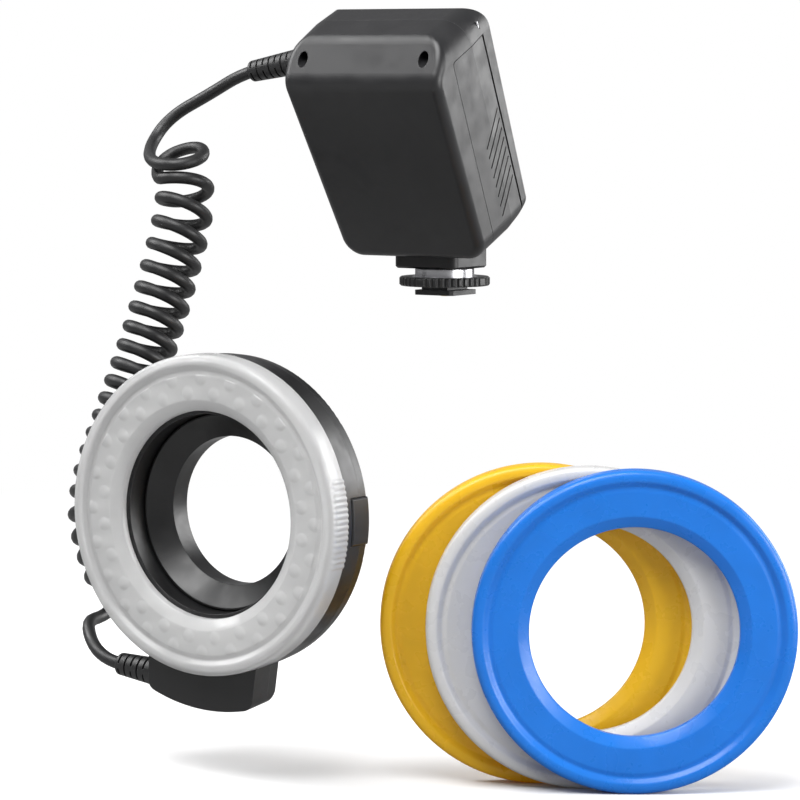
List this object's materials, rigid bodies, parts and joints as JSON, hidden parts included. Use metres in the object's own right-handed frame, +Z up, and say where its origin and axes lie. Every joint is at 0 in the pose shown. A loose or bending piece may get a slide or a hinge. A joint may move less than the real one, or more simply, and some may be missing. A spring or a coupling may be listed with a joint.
{
  "type": "macro ring flash",
  "caption": "Ring lamp head that clips to a lens adapter, joined by a curly cord to a leaning control unit on a hot shoe foot, with coloured ring diffusers beside it.",
  "frame": {"origin": "middle of the flat underside of the hot shoe foot", "axes": "+Z up out of the shoe, -Y where the lamps look, +X towards the battery door"},
  "size_m": [0.3063, 0.1858, 0.2911],
  "materials": {
    "black_moulding": "fine satin grain",
    "grey_plastic": "satin",
    "cord_rubber": "matt",
    "frosted_clear": "frosted translucent",
    "yellow_translucent": "translucent",
    "white_translucent": "translucent",
    "blue_translucent": "translucent",
    "lamp_white": "clear dome",
    "board_green": "solder mask",
    "display_glass": "clear",
    "display_dark": "liquid crystal",
    "pilot_red": "clear",
    "steel": "plated",
    "cell_metal": "wrapped",
    "brass": "plated"
  },
  "bodies": {
    "flash": {"shoe_foot": "black_moulding", "shoe_stem": "grey_plastic", "shoe_pedestal": "black_moulding", "unit_front_shell": "black_moulding", "unit_rear_shell": "black_moulding", "unit_case_screws": "steel", "battery_cells": "cell_metal", "battery_tray": "grey_plastic", "battery_contacts": "steel", "main_circuit_board": "board_green", "display_window": "display_glass", "display_module": "display_dark", "pilot_lamp": "pilot_red", "unit_cord_relief": "cord_rubber", "top_lead": "cord_rubber", "curly_cord": "cord_rubber", "bottom_lead": "cord_rubber", "head_cord_relief": "cord_rubber", "head_front_housing": "black_moulding", "head_rear_housing": "black_moulding", "head_screws": "steel", "lamp_board": "board_green", "lamps": "lamp_white"},
    "hinge_rod": {"door_hinge_rod": "steel"},
    "door": {"battery_door": "black_moulding", "door_contacts": "steel"},
    "contact_pin": {"contact_pin": "brass"},
    "wheel_bush": {"wheel_bush": "brass"},
    "lock_wheel": {"lock_wheel": "grey_plastic"},
    "key_minus": {"key_minus": "grey_plastic"},
    "key_mode": {"key_mode": "grey_plastic"},
    "key_plus": {"key_plus": "grey_plastic"},
    "key_test": {"key_test": "grey_plastic"},
    "power_switch": {"power_switch": "grey_plastic"},
    "catch_right": {"release_catch_right": "black_moulding"},
    "catch_left": {"release_catch_left": "black_moulding"},
    "adapter_ring": {"adapter_ring": "grey_plastic"},
    "clear_diffuser": {"clear_diffuser": "frosted_clear"},
    "yellow_diffuser": {"yellow_diffuser": "yellow_translucent"},
    "white_diffuser": {"white_diffuser": "white_translucent"},
    "blue_diffuser": {"blue_diffuser": "blue_translucent"}
  },
  "joints": [
    {"name": "door_slide", "type": "slide", "parent": "flash", "child": "hinge_rod", "axis": [-0.047, 0.4611, -0.8861], "range_m": [0, 0.005]},
    {"name": "door_swing", "type": "hinge", "parent": "hinge_rod", "child": "door", "pos_m": [0.03283, 0.00192, 0.04158], "axis": [0.047, -0.4611, 0.8861], "range_deg": [0, 95]},
    {"name": "pin_press", "type": "slide", "parent": "flash", "child": "contact_pin", "axis": [0, 0, 1], "range_m": [0, 0.0007], "stiffness_N_per_m": 800, "springref_m": -0.0006},
    {"name": "wheel_lift", "type": "slide", "parent": "flash", "child": "wheel_bush", "axis": [0, 0, 1], "range_m": [0, 0.0015]},
    {"name": "wheel_turn", "type": "hinge", "parent": "wheel_bush", "child": "lock_wheel", "pos_m": [0, 0, 0.0055], "axis": [0, 0, 1], "range_deg": [0, 360]},
    {"name": "key_minus_press", "type": "slide", "parent": "flash", "child": "key_minus", "axis": [0, -0.8986, -0.4388], "range_m": [0, 0.0006], "stiffness_N_per_m": 1500, "springref_m": -0.0004},
    {"name": "key_mode_press", "type": "slide", "parent": "flash", "child": "key_mode", "axis": [0, -0.8986, -0.4388], "range_m": [0, 0.0006], "stiffness_N_per_m": 1500, "springref_m": -0.0004},
    {"name": "key_plus_press", "type": "slide", "parent": "flash", "child": "key_plus", "axis": [0, -0.8986, -0.4388], "range_m": [0, 0.0006], "stiffness_N_per_m": 1500, "springref_m": -0.0004},
    {"name": "key_test_press", "type": "slide", "parent": "flash", "child": "key_test", "axis": [0, -0.8986, -0.4388], "range_m": [0, 0.0006], "stiffness_N_per_m": 1500, "springref_m": -0.0004},
    {"name": "power_slide", "type": "slide", "parent": "flash", "child": "power_switch", "axis": [1, 0, 0], "range_m": [-0.0028, 0.0028]},
    {"name": "catch_right_press", "type": "slide", "parent": "flash", "child": "catch_right", "axis": [-1, 0, 0], "range_m": [0, 0.0018], "stiffness_N_per_m": 1200, "springref_m": -0.001},
    {"name": "catch_left_press", "type": "slide", "parent": "flash", "child": "catch_left", "axis": [1, 0, 0], "range_m": [0, 0.0018], "stiffness_N_per_m": 1200, "springref_m": -0.001},
    {"name": "adapter_turn", "type": "hinge", "parent": "flash", "child": "adapter_ring", "pos_m": [0, -0.1474, -0.0742], "axis": [0, 1, 0], "continuous": true},
    {"name": "clear_diffuser_pull", "type": "slide", "parent": "flash", "child": "clear_diffuser", "axis": [0, -1, 0], "range_m": [0, 0.03]},
    {"name": "yellow_diffuser_lift", "type": "slide", "parent": "flash", "child": "yellow_diffuser", "axis": [0, 0, 1], "range_m": [0, 0.08]},
    {"name": "white_diffuser_lift", "type": "slide", "parent": "flash", "child": "white_diffuser", "axis": [0, 0, 1], "range_m": [0, 0.08]},
    {"name": "blue_diffuser_lift", "type": "slide", "parent": "flash", "child": "blue_diffuser", "axis": [0, 0, 1], "range_m": [0, 0.08]}
  ],
  "couplings": [
    {"joint": "wheel_turn", "follows": "wheel_lift", "rad_per_m": 4188.8}
  ]
}
